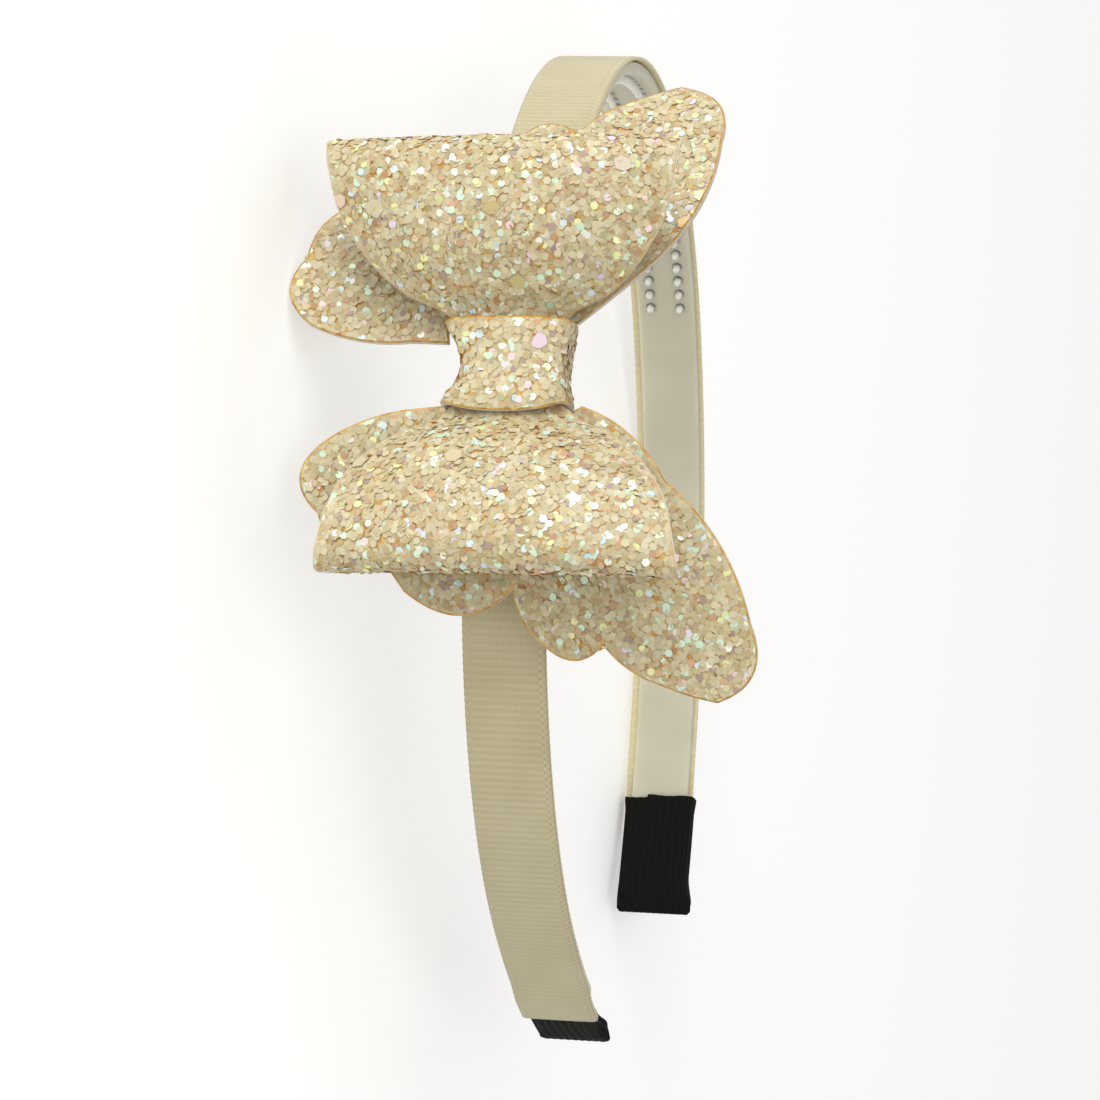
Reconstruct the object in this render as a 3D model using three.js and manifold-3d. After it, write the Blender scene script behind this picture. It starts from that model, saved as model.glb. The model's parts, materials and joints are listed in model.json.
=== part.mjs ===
// Hair band with a glitter bow: a toothed plastic arch, a grosgrain ribbon on its outside, a ribbed
// sleeve on each tip, and a bow of glittered sheet on one leg. It lies on its side.
//
// The pieces are laid out in the band's own frame. Its origin is on top of the arch, on the outer
// face of the plastic. X runs from the bow's leg (-X) to the plain leg (+X), Y runs across the band
// and Z runs up. A place on the band is given by its distance from the top along the arch, by how
// far across the band it is, and by how far it stands out from the plastic's outer face.
// The bow has a frame of its own on the band: x across it, y up along the band and z outwards.

import * as THREE from 'three';
import { mergeGeometries, mergeVertices } from 'three/addons/utils/BufferGeometryUtils.js';
import { TessellateModifier } from 'three/addons/modifiers/TessellateModifier.js';
import Module from 'manifold-3d';

const wasm = await Module();
wasm.setup();

// Driving sizes of the arch, in millimetres and degrees
const crownRadius = 58.2;
const crownTurn = 74.9;
const bowCheekRadius = 66.9;
const bowCheekTurn = 51.3;
const plainCheekRadius = 88.1;
const plainCheekTurn = 39.2;
const tipRadius = 116.7;
const bowTipTurn = 17.4;
const plainTipTurn = 15.8;

// The toothed plastic band
const bandWidth = 8.3;
const bandThick = 1.2;
const bandEdgeThick = 0.8;
const bandEdgeRound = 0.5;
const toothPitch = 2.35;
const toothBase = 1.5;
const toothTip = 0.9;
const toothHeight = 1.9;
const toothRowGap = 4.4;
const toothedReach = 75.2;

// The ribbon
const ribbonWidth = 10;
const ribbonThick = 1;
const ribbonShift = 0.35;
const ribbonEndGap = 11.7;
const ribbonCorner = 1.6;
const ribbonRamp = 5;

// The tip sleeves
const sleeveLength = 17.2;
const sleeveWall = 0.6;
const sleeveFloor = 1.2;
const sleeveRibPitch = 1.1;
const sleeveRibHeight = 0.2;
const sleeveFootFlare = 0.05;
const sleeveMouthFlare = 0.02;

// The bow
const bowPlace = 61.8;
const bowShift = 0.4;
const bowTurn = 1.2;
const sheetThick = 1;
const loopReach = 25.5;
const loopHalfWidth = 20.9;
const loopRise = 10.3;
const loopLean = 0.04;
const wingReach = 37.9;
const foreSpan = 26.1;
const hindSpan = 26.7;
const wingTurn = 2;
const wingLean = 0.067;
const wingShift = 0.45;
const wingBendRadius = 66;
const knotWidth = 10.8;
const knotHalfWaist = 6.1;
const knotFlareOut = 2.1;
const knotFlareFront = 0.3;
const knotFlarePower = 1.8;
const knotCornerPower = 6;
const waistFill = 0.68;

// Clearances between pieces that touch on the real thing
const gap = 0.3;
const fusedDepth = 0.3;

// How finely curved pieces are divided
const bandStep = 4.6;
const sheetStep = 6;
const outlineStep = 2.4;
const loopStops = 60;
const loopAcross = 9;
const knotStops = 36;
const knotAcross = 5;
const sleeveStops = 4;
const ribbonCornerStops = 3;
const toothSides = 5;
const mostSplits = 12;
const searchSteps = 48;
const settlingPasses = 3;

const up = new THREE.Vector3(0, 0, 1);
const degrees = THREE.MathUtils.degToRad;
const lerp = THREE.MathUtils.lerp;
const smooth = THREE.MathUtils.smoothstep;

// The arcs of one leg, from the top of the arch down: the bow's leg is side -1
function legArcs(side) {
  return [
    { radius: crownRadius, turn: degrees(crownTurn) },
    {
      radius: side < 0 ? bowCheekRadius : plainCheekRadius,
      turn: degrees(side < 0 ? bowCheekTurn : plainCheekTurn),
    },
    { radius: tipRadius, turn: degrees(side < 0 ? bowTipTurn : plainTipTurn) },
  ];
}

function legLength(side) {
  return legArcs(side).reduce((sum, arc) => sum + arc.radius * arc.turn, 0);
}

// Maps a place on the band to a point: negative distances lie on the bow's leg
function onBand(distance, across, out) {
  const side = distance < 0 ? -1 : 1;
  const arcs = legArcs(side);
  let left = Math.abs(distance);
  let angle = 0;
  let x = 0;
  let z = 0;
  for (const arc of arcs) {
    const whole = arc === arcs.at(-1) ? Infinity : arc.turn;
    const bend = Math.min(left / arc.radius, whole);
    x += arc.radius * (Math.sin(angle + bend) - Math.sin(angle));
    z += arc.radius * (Math.cos(angle + bend) - Math.cos(angle));
    angle += bend;
    left -= bend * arc.radius;
  }
  return new THREE.Vector3(side * (x + out * Math.sin(angle)), across, z + out * Math.cos(angle));
}

// Moves every point of a geometry and keeps only its welded positions
function reshape(geometry, move) {
  const place = geometry.attributes.position;
  const point = new THREE.Vector3();
  for (let i = 0; i < place.count; i += 1) {
    point.fromBufferAttribute(place, i);
    const moved = move(point);
    place.setXYZ(i, moved.x, moved.y, moved.z);
  }
  return weld(geometry);
}

function weld(geometry) {
  geometry.deleteAttribute('normal');
  geometry.deleteAttribute('uv');
  return mergeVertices(geometry, 1e-4);
}

function toSolid(geometry) {
  return new wasm.Manifold(new wasm.Mesh({
    numProp: 3,
    vertProperties: new Float32Array(geometry.attributes.position.array),
    triVerts: new Uint32Array(geometry.index.array),
  }));
}

function fromSolid(solid) {
  const mesh = solid.getMesh();
  const geometry = new THREE.BufferGeometry();
  const corners = new Float32Array(mesh.vertProperties);
  geometry.setAttribute('position', new THREE.BufferAttribute(corners, 3));
  geometry.setIndex(new THREE.BufferAttribute(new Uint32Array(mesh.triVerts), 1));
  return geometry;
}

function piece(name, geometry, color, roughness) {
  geometry.computeVertexNormals();
  const material = new THREE.MeshStandardMaterial({ color, roughness, metalness: 0 });
  const mesh = new THREE.Mesh(geometry, material);
  mesh.name = name;
  return mesh;
}

// The plastic strip is thinner at its rounded edges, and its teeth stand inwards in two rows
function plasticBand() {
  const reach = (side) => legLength(side) - sleeveFloor - gap;
  const stops = 2 * Math.ceil(reach(1) / bandStep);
  const strip = reshape(new THREE.BoxGeometry(2, 2, 1, stops, 3, 1), (point) => {
    const edge = Math.abs(point.y) === 1;
    const across = Math.sign(point.y) * (bandWidth / 2 - (edge ? 0 : bandEdgeRound));
    const thick = edge ? bandEdgeThick : bandThick;
    return onBand(point.x * reach(point.x), across, thick * point.z - bandThick / 2);
  });
  const rowSteps = Math.round(toothedReach / toothPitch);
  const teeth = [];
  for (let step = -rowSteps; step <= rowSteps; step += 1) {
    for (const row of [-0.5, 0.5]) {
      teeth.push(tooth(step * toothPitch, row * toothRowGap));
    }
  }
  return fromSolid(toSolid(strip).add(toSolid(mergeGeometries(teeth))));
}

function tooth(distance, across) {
  const length = toothHeight + fusedDepth;
  const peg = new THREE.CylinderGeometry(toothBase / 2, toothTip / 2, length, toothSides);
  peg.rotateX(Math.PI / 2);
  const root = onBand(distance, across, -bandThick + fusedDepth);
  const tip = onBand(distance, across, -bandThick - toothHeight);
  peg.applyQuaternion(new THREE.Quaternion().setFromUnitVectors(up, root.clone().sub(tip).normalize()));
  const middle = root.add(tip).divideScalar(2);
  peg.translate(middle.x, middle.y, middle.z);
  return weld(peg);
}

// The ribbon follows the plastic and steps up over the sleeves, with rounded corners at its ends
function ribbon() {
  const half = Math.ceil(legLength(1) / bandStep);
  const stops = half + ribbonCornerStops;
  const lift = sleeveWall + sleeveRibHeight + gap;
  return reshape(new THREE.BoxGeometry(2 * stops, 2, 1, 2 * stops, 1, 1), (point) => {
    const step = Math.round(Math.abs(point.x));
    const plain = legLength(point.x) - ribbonEndGap - ribbonCorner;
    const rampEnd = legLength(point.x) - sleeveLength - gap;
    const turn = Math.max(0, step - half) / ribbonCornerStops * Math.PI / 2;
    const along = step <= half ? plain * step / half : plain + ribbonCorner * Math.sin(turn);
    const halfWidth = ribbonWidth / 2 - ribbonCorner * (1 - Math.cos(turn));
    const rise = lift * smooth(along, rampEnd - ribbonRamp, rampEnd);
    const out = gap + rise + ribbonThick * (point.z + 0.5);
    return onBand(Math.sign(point.x) * along, ribbonShift + point.y * halfWidth, out);
  });
}

// Outline of a sleeve across the band, with a rib every pitch, from its lowest corner round
function ribbedOutline(halfWidth, inner, outer) {
  const ribs = Math.round(2 * halfWidth / sleeveRibPitch);
  const sideRibs = Math.round((outer - inner) / sleeveRibPitch);
  const shape = [];
  const sides = [
    { from: [-halfWidth, inner], to: [halfWidth, inner], count: ribs, out: [0, -1] },
    { from: [halfWidth, inner], to: [halfWidth, outer], count: sideRibs, out: [1, 0] },
    { from: [halfWidth, outer], to: [-halfWidth, outer], count: ribs, out: [0, 1] },
    { from: [-halfWidth, outer], to: [-halfWidth, inner], count: sideRibs, out: [-1, 0] },
  ];
  for (const side of sides) {
    for (let i = 0; i < 2 * side.count; i += 1) {
      const share = i / (2 * side.count);
      const rib = i % 2 === 1 ? sleeveRibHeight : 0;
      const x = lerp(side.from[0], side.to[0], share) + rib * side.out[0];
      const y = lerp(side.from[1], side.to[1], share) + rib * side.out[1];
      shape.push(new THREE.Vector2(x, y));
    }
  }
  return new THREE.Shape(shape);
}

function sleeve(side) {
  const pocketHalf = bandWidth / 2 + gap;
  const pocketIn = -bandThick - gap;
  const wall = sleeveWall;
  const outline = ribbedOutline(pocketHalf + wall, pocketIn - wall, gap + wall);
  const mouth = legLength(side) - sleeveLength;
  const extent = { depth: sleeveLength, steps: sleeveStops, bevelEnabled: false };
  const body = reshape(new THREE.ExtrudeGeometry(outline, extent), (point) => {
    const share = side < 0 ? 1 - point.z / sleeveLength : point.z / sleeveLength;
    const foot = sleeveFootFlare * smooth(share, 0.5, 1);
    const mouthSpread = sleeveMouthFlare * (1 - smooth(share, 0, 0.5));
    return onBand(side * (mouth + share * sleeveLength), point.x * (1 + foot + mouthSpread), point.y);
  });
  const pocketLength = sleeveLength - sleeveFloor + fusedDepth;
  const pocketGeometry = new THREE.BoxGeometry(pocketLength, 2 * pocketHalf, 1, sleeveStops, 1, 1);
  const pocket = reshape(pocketGeometry, (point) => {
    const along = mouth - fusedDepth + pocketLength / 2 + side * point.x;
    return onBand(side * along, point.y, point.z > 0 ? gap : pocketIn);
  });
  return fromSolid(toSolid(body).subtract(toSolid(pocket)));
}

// Points from one corner to the next along an arc whose height is a share of the chord
function arcTo(from, to, bulge, count) {
  const points = [];
  const chord = new THREE.Vector2().subVectors(to, from);
  const aside = new THREE.Vector2(chord.y, -chord.x);
  for (let i = 1; i <= count; i += 1) {
    const share = i / count;
    const lift = 4 * bulge * share * (1 - share);
    points.push(from.clone().addScaledVector(chord, share).addScaledVector(aside, lift));
  }
  return points;
}

const knotClear = knotWidth / 2 + 2 * gap;

// The room inside the knot beside what it binds, from its middle (0) to its flared edges (1)
function knotRoom(flare) {
  return knotHalfWaist - sheetThick - gap + knotFlareOut * flare;
}

// One half of the wings, from the fore side of the knot round to its hind side. along is a share
// of the way from the knot's edge to the wings' reach, and across a share of the span on its side.
// bulge shapes the edge that ends there.
const wingRows = [
  { part: 'beside the knot', along: 0, across: 0.32, bulge: 0 },
  { part: 'fore edge', along: 0.241, across: 0.674, bulge: 0.06 },
  { part: 'fore edge', along: 0.721, across: 0.996, bulge: 0.095 },
  { part: 'fore tip', along: 1.0, across: 0.812, bulge: 0.245 },
  { part: 'fore tip', along: 0.934, across: 0.571, bulge: 0.03 },
  { part: 'first notch', along: 0.787, across: 0.333, bulge: 0.08 },
  { part: 'small scallop', along: 0.784, across: 0.065, bulge: 0.25 },
  { part: 'middle notch', along: 0.586, across: -0.05, bulge: 0.108 },
  { part: 'hind lobe', along: 0.583, across: -0.55, bulge: 0.22 },
  { part: 'second notch', along: 0.524, across: -0.62, bulge: 0 },
  { part: 'side lobe', along: 0.295, across: -0.921, bulge: 0.19 },
  { part: 'hind tip', along: 0.044, across: -0.906, bulge: 0.29 },
  { part: 'hind edge', along: -0.05, across: -0.45, bulge: 0.085 },
  { part: 'beside the knot', along: -0.05, across: -0.33, bulge: 0 },
  { part: 'behind the knot', along: 0, across: -0.33, bulge: 0 },
];

function wingOutline() {
  const waist = [waistFill * knotRoom(0), waistFill * knotRoom(1)];
  const half = [new THREE.Vector2(waist[0], 0), new THREE.Vector2(waist[1], knotClear)];
  for (const { along, across, bulge } of wingRows) {
    const span = across > 0 ? foreSpan : hindSpan;
    const spot = new THREE.Vector2(across * span, lerp(knotClear, wingReach, along));
    const from = half.at(-1);
    const count = bulge === 0 ? 1 : Math.max(2, Math.ceil(from.distanceTo(spot) / outlineStep));
    half.push(...arcTo(from, spot, bulge, count));
  }
  half.push(new THREE.Vector2(-waist[1], knotClear), new THREE.Vector2(-waist[0], 0));
  const mirrored = half.slice(1, -1).reverse().map((spot) => new THREE.Vector2(spot.x, -spot.y));
  return new THREE.Shape([...half, ...mirrored]);
}

// The sheet lies flat at the knot and bends back beside it, as the band does
function bendBack(point, radius, flat) {
  const past = Math.max(0, Math.abs(point.y) - flat);
  const angle = past / radius;
  const reach = radius + point.z;
  const y = Math.abs(point.y) - past + reach * Math.sin(angle);
  return new THREE.Vector3(point.x, Math.sign(point.y) * y, reach * Math.cos(angle) - radius);
}

// Leans a shape towards the hind side at its upper end and the fore side at its lower end
function leant(point, lean) {
  return point.setX(point.x - lean * point.y);
}

const knotBack = gap;
const wingBack = knotBack + sheetThick + gap;
const loopBack = wingBack + sheetThick + gap;

function wings() {
  const plain = new THREE.ExtrudeGeometry(wingOutline(), { depth: sheetThick, bevelEnabled: false });
  const fine = new TessellateModifier(sheetStep, mostSplits).modify(plain);
  fine.translate(0, 0, wingBack);
  return reshape(fine, (point) => leant(bendBack(point, wingBendRadius, knotClear), wingLean));
}

// Half of the loops' wall, from the front of the waist round the fold to the back of the waist.
// knot is a share of the way to the knot's edge and free of the way from there to the fold, rise
// is a share of the loops' rise, tight of the room in the knot and width of the loops' half width,
// and drop is how far the wall's ends stand behind its middle, as a share of the rise.
const loopRows = [
  { knot: 0, free: 0.0, rise: 0.17, tight: 0.9, width: 0.0, drop: 0.13 },
  { knot: 1, free: 0.0, rise: 0.21, tight: 0.9, width: 0.0, drop: 0.145 },
  { knot: 1, free: 0.134, rise: 0.46, tight: 0.0, width: 0.59, drop: 0.22 },
  { knot: 1, free: 0.314, rise: 0.75, tight: 0.0, width: 0.78, drop: 0.3 },
  { knot: 1, free: 0.56, rise: 0.94, tight: 0.0, width: 0.92, drop: 0.32 },
  { knot: 1, free: 0.82, rise: 1.0, tight: 0.0, width: 0.98, drop: 0.26 },
  { knot: 1, free: 0.96, rise: 0.92, tight: 0.0, width: 1.0, drop: 0.2 },
  { knot: 1, free: 1.0, rise: 0.786, tight: 0.0, width: 1.0, drop: 0.145 },
  { knot: 1, free: 0.948, rise: 0.635, tight: 0.0, width: 1.0, drop: 0.117 },
  { knot: 1, free: 0.768, rise: 0.44, tight: 0.0, width: 0.94, drop: 0.058 },
  { knot: 1, free: 0.51, rise: 0.25, tight: 0.0, width: 0.79, drop: 0.03 },
  { knot: 1, free: 0.25, rise: 0.107, tight: 0.0, width: 0.56, drop: 0.0 },
  { knot: 1, free: 0.0, rise: 0.0, tight: 0.9, width: 0.0, drop: 0.0 },
  { knot: 0, free: 0.0, rise: 0.0, tight: 0.9, width: 0.0, drop: 0.0 },
];
const loopSections = loopRows.map((row) => ({
  reach: row.knot * knotClear + row.free * (loopReach - knotClear),
  rise: row.rise * loopRise,
  half: row.tight * knotRoom(row.knot) + row.width * loopHalfWidth,
  drop: row.drop * loopRise,
}));

// A smooth line through one column of the rows, for a share that runs from 0 to 1
function readRows(rows, column, share) {
  const place = share * (rows.length - 1);
  const row = Math.min(Math.floor(place), rows.length - 2);
  const at = (i) => rows[THREE.MathUtils.clamp(i, 0, rows.length - 1)][column];
  const t = place - row;
  const before = (at(row + 1) - at(row - 1)) / 2;
  const after = (at(row + 2) - at(row)) / 2;
  const rise = at(row + 1) - at(row);
  return at(row) + t * (before + t * (3 * rise - 2 * before - after + t * (before + after - 2 * rise)));
}

// A closed wall from a ring: the ring's u runs round the wall's path and its v round the wall's
// section, out along one face and back along the other
function ringWall(stops, across, place) {
  const ring = new THREE.TorusGeometry(2, 1, 2 * across + 2, stops);
  const uv = ring.attributes.uv;
  const position = ring.attributes.position;
  for (let i = 0; i < uv.count; i += 1) {
    const corner = Math.round(uv.getY(i) * (2 * across + 2)) % (2 * across + 2);
    const front = corner <= across;
    const share = (front ? corner : 2 * across + 1 - corner) / across;
    const path = Math.round(uv.getX(i) * stops) % stops / stops;
    const point = place(path, 1 - 2 * share, front ? 0.5 : -0.5);
    position.setXYZ(i, point.x, point.y, point.z);
  }
  return weld(ring);
}

// The shares of the loops' path between which the front comes off its own back into the fold
const foldStart = 0.4;
const foldEnd = 0.68;

// The middle of the loops' wall, whose front stands a layer off its back up to the fold
function loopMiddle(path, side) {
  const share = path < 0.5 ? 2 * path : 2 - 2 * path;
  const sign = path < 0.5 ? 1 : -1;
  const read = (column) => readRows(loopSections, column, share);
  const layer = (sheetThick + gap) * (1 - smooth(share, foldStart, foldEnd));
  const z = loopBack + sheetThick / 2 + layer + read('rise') - read('drop') * side * side;
  return leant(new THREE.Vector3(side * read('half'), sign * read('reach'), z), loopLean);
}

function loops() {
  const nudge = 1 / (4 * loopStops);
  return ringWall(loopStops, loopAcross, (path, side, face) => {
    const middle = loopMiddle(path, side);
    const ahead = loopMiddle((path + nudge) % 1, side);
    const behind = loopMiddle((path + 1 - nudge) % 1, side);
    const out = new THREE.Vector3(0, behind.z - ahead.z, ahead.y - behind.y).normalize();
    return middle.addScaledVector(out, face * sheetThick);
  });
}

// The knot is a strip closed round the waist of the loops and the wings, flared at both edges
function knot() {
  const overLoops = (section) => loopBack + 2 * (sheetThick + gap) + section.rise;
  const frontMiddle = overLoops(loopSections[0]);
  const frontEdge = overLoops(loopSections[1]) + knotFlareFront;
  return ringWall(knotStops, knotAcross, (path, side, face) => {
    const flare = Math.pow(Math.abs(side), knotFlarePower);
    const out = (face + 0.5) * sheetThick;
    const halfWidth = knotHalfWaist - sheetThick + knotFlareOut * flare + out;
    const front = lerp(frontMiddle, frontEdge, flare) + out;
    const back = knotBack + sheetThick - out;
    const angle = 2 * Math.PI * path;
    const rounded = (value) => Math.sign(value) * Math.pow(Math.abs(value), 2 / knotCornerPower);
    const x = -halfWidth * rounded(Math.sin(angle));
    const z = lerp(back, front, (rounded(Math.cos(angle)) + 1) / 2);
    return new THREE.Vector3(x, side * knotWidth / 2, z);
  });
}

function bow() {
  const group = new THREE.Group();
  const back = piece('bow_wings', wings(), 0xd9bd8c, 0.55);
  back.rotation.z = degrees(wingTurn);
  back.position.x = -wingShift;
  group.add(back);
  group.add(piece('bow_loops', loops(), 0xe3cfa5, 0.5));
  group.add(piece('bow_knot', knot(), 0xdfc898, 0.5));
  const root = onBand(-bowPlace, -bowShift, gap + ribbonThick);
  const outwards = onBand(-bowPlace, -bowShift, gap + ribbonThick + 1).sub(root);
  const sideways = new THREE.Vector3(0, -1, 0);
  const along = new THREE.Vector3().crossVectors(outwards, sideways);
  const turned = new THREE.Matrix4().makeRotationZ(degrees(bowTurn));
  const basis = new THREE.Matrix4().makeBasis(sideways, along, outwards).multiply(turned);
  group.applyMatrix4(basis.setPosition(root));
  return group;
}

const headband = new THREE.Group();
headband.add(piece('plastic_band', plasticBand(), 0xe6e2cf, 0.35));
headband.add(piece('grosgrain_ribbon', ribbon(), 0xc9c5a6, 0.8));
headband.add(piece('bow_leg_sleeve', sleeve(-1), 0x161614, 0.85));
headband.add(piece('plain_leg_sleeve', sleeve(1), 0x161614, 0.85));
headband.add(bow());

// Every corner of every piece in the world, and the middle of the solids' volume
function measure(root) {
  root.updateMatrixWorld(true);
  const corners = [];
  const middle = new THREE.Vector3();
  let volume = 0;
  root.traverse((mesh) => {
    if (!mesh.isMesh) {
      return;
    }
    const place = mesh.geometry.attributes.position;
    const own = [];
    for (let i = 0; i < place.count; i += 1) {
      own.push(new THREE.Vector3().fromBufferAttribute(place, i).applyMatrix4(mesh.matrixWorld));
    }
    const index = mesh.geometry.index.array;
    for (let i = 0; i < index.length; i += 3) {
      const [a, b, c] = [own[index[i]], own[index[i + 1]], own[index[i + 2]]];
      const part = a.dot(b.clone().cross(c)) / 6;
      volume += part;
      middle.addScaledVector(a.clone().add(b).add(c), part / 4);
    }
    corners.push(...own);
  });
  return { corners, middle: middle.divideScalar(volume) };
}

// The least value of a function that has one valley, by thirds
function lowest(from, to, height) {
  let low = from;
  let high = to;
  for (let i = 0; i < searchSteps; i += 1) {
    const third = (high - low) / 3;
    if (height(low + third) < height(high - third)) {
      high -= third;
    } else {
      low += third;
    }
  }
  return (low + high) / 2;
}

// Lets the part settle: the slopes along X and Y of the plane that carries it under its middle
function restingSlopes({ corners, middle }) {
  const under = (slopeX, slopeY) => {
    let depth = -Infinity;
    for (const corner of corners) {
      const rise = slopeX * (corner.x - middle.x) + slopeY * (corner.y - middle.y);
      depth = Math.max(depth, rise - corner.z);
    }
    return depth;
  };
  const bestY = (slopeX) => lowest(-1, 1, (slopeY) => under(slopeX, slopeY));
  const slopeX = lowest(-1, 1, (slope) => under(slope, bestY(slope)));
  return [slopeX, bestY(slopeX)];
}

// Turned on its side, with the bow's front towards -Y and the top of the arch towards -X
const onSide = new THREE.Matrix4().makeBasis(
  new THREE.Vector3(0, 1, 0),
  new THREE.Vector3(0, 0, -1),
  new THREE.Vector3(-1, 0, 0),
);
headband.applyMatrix4(onSide);
const settled = new THREE.Group();
settled.add(headband);
for (let pass = 0; pass < settlingPasses; pass += 1) {
  const [slopeX, slopeY] = restingSlopes(measure(settled));
  const floorUp = new THREE.Vector3(-slopeX, -slopeY, 1).normalize();
  headband.applyQuaternion(new THREE.Quaternion().setFromUnitVectors(floorUp, up));
}
const box = new THREE.Box3().setFromPoints(measure(settled).corners);
const centre = box.getCenter(new THREE.Vector3());
settled.position.set(-centre.x, -centre.y, -box.min.z);

export default settled;
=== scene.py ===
# Hair band with a glitter bow: a toothed ivory arch, grosgrain ribbon, black tip sleeves and a
# bow cut from chunky glitter sheet. Lengths in the settings are millimetres.
import json
import math

import bmesh
import bpy
import numpy as np
from mathutils import Matrix, Vector, noise
from mathutils.kdtree import KDTree


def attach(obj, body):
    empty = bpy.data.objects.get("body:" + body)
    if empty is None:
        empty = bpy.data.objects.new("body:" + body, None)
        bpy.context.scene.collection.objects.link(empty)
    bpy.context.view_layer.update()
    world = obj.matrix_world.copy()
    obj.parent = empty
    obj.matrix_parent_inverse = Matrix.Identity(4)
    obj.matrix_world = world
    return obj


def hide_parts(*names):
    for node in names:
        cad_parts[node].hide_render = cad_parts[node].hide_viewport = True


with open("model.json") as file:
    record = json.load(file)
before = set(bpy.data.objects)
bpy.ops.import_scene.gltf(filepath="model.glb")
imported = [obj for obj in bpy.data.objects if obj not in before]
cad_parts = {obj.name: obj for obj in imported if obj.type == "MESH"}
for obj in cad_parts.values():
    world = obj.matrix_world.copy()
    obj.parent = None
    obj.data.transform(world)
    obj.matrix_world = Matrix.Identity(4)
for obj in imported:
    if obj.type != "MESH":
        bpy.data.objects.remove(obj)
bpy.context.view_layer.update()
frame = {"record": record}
mm = 0.001


def srgb(hexColour):
    parts = [int(hexColour[i:i + 2], 16) / 255 for i in (1, 3, 5)]
    return [c / 12.92 if c < 0.04045 else ((c + 0.055) / 1.055) ** 2.4 for c in parts] + [1.0]


def smooth(value, low, high):
    t = min(1.0, max(0.0, (value - low) / (high - low)))
    return t * t * (3 - 2 * t)


def mix(low, high, share):
    return low + (high - low) * share


def signedPower(value, power):
    return math.copysign(abs(value) ** power, value)


# The arch as seen from the front: side -1 is the bow's leg and side 1 the plain one.
# Its own frame has X from leg to leg, Y across the band and Z up, from the top of the arch.
archSettings = {
    "crownRadius": 58.2, "crownTurn": 74.9,
    "cheekRadius": {-1: 66.9, 1: 88.1}, "cheekTurn": {-1: 51.3, 1: 39.2},
    "tipRadius": 116.7, "tipTurn": {-1: 17.4, 1: 15.8},
    "tipMiddle": -0.6,  # how far out the middle of a sleeve's end lies
}


def legArcs(side):
    s = archSettings
    return [
        (s["crownRadius"], math.radians(s["crownTurn"])),
        (s["cheekRadius"][side], math.radians(s["cheekTurn"][side])),
        (s["tipRadius"], math.radians(s["tipTurn"][side])),
    ]


def legLength(side):
    return sum(radius * turn for radius, turn in legArcs(side))


def onArch(distance, across, out):
    side = -1 if distance < 0 else 1
    left, angle, x, z = abs(distance), 0.0, 0.0, 0.0
    for i, (radius, turn) in enumerate(legArcs(side)):
        bend = left / radius if i == 2 else min(left / radius, turn)
        x += radius * (math.sin(angle + bend) - math.sin(angle))
        z += radius * (math.cos(angle + bend) - math.cos(angle))
        angle += bend
        left -= bend * radius
    return Vector((side * (x + out * math.sin(angle)), across, z + out * math.cos(angle)))


def axesOf(first, second, normal):
    along = (second - first).normalized()
    normal = (normal - along * normal.dot(along)).normalized()
    return Matrix((along, normal, along.cross(normal))).transposed()


# The two tips, known in both frames, carry the arch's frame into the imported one
tips = {m["name"]: m for m in frame["record"]["mounts"]}
rowTips = [Vector(tips[name]["pos_m"]) for name in ("bow_leg_tip", "plain_leg_tip")]
rowAcross = Vector(tips["bow_leg_tip"]["axis"]).cross(Vector(tips["plain_leg_tip"]["axis"]))
archTips = [onArch(side * legLength(side), 0, archSettings["tipMiddle"]) * mm for side in (-1, 1)]
turnToRow = axesOf(*rowTips, rowAcross) @ axesOf(*archTips, Vector((0, 1, 0))).transposed()
archToRow = (Matrix.Translation(rowTips[0]) @ turnToRow.to_4x4()
             @ Matrix.Translation(-archTips[0]) @ Matrix.Scale(mm, 4))
tipMiss = (archToRow @ (archTips[1] / mm) - rowTips[1]).length / mm
print("arch placed, tips meet within", round(tipMiss, 3), "mm")

# The bow's frame on the leg: x towards its large wings, y up the leg and z outwards
bowSettings = {
    "place": 61.8, "shift": 0.4, "turn": 1.2,
    "sheetThick": 1.0, "gap": 0.3, "ribbonThick": 1.0,
    "knotWidth": 10.8, "knotHalfWaist": 6.1, "knotFlareOut": 2.1, "knotFlareFront": 0.3,
    "knotFlarePower": 1.8, "waistFill": 0.68,
    "skin": 0.2,  # what the glitter stands proud of the sheet
    "cutThick": 0.75,  # the sheet itself
}
s = bowSettings
bowRoot = onArch(-s["place"], -s["shift"], s["gap"] + s["ribbonThick"])
bowOut = onArch(-s["place"], -s["shift"], s["gap"] + s["ribbonThick"] + 1) - bowRoot
bowAside = Vector((0, -1, 0))
bowAxes = Matrix((bowAside, bowOut.cross(bowAside), bowOut)).transposed().to_4x4()
bowToArch = Matrix.Translation(bowRoot) @ bowAxes @ Matrix.Rotation(math.radians(s["turn"]), 4, "Z")
bowToRow = archToRow @ bowToArch
rowToBow = bowToRow.inverted()
layer = s["sheetThick"] + s["gap"]
knotClear = s["knotWidth"] / 2 + 2 * s["gap"]
knotBack = s["gap"]
wingBack = knotBack + layer
loopBack = wingBack + layer


def knotRoom(flare):
    s = bowSettings
    return s["knotHalfWaist"] - s["sheetThick"] - s["gap"] + s["knotFlareOut"] * flare


# Camera: the photograph's own place and angle, measured in the arch's frame
cameraSettings = {
    "place": (-454.0, -86.15, 64.3), "turnAside": 11.57, "lookDown": 15.52,
    "right": (0.195, -0.981, -0.021), "lens": 117.62, "sensor": 36.0,
}


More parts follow.
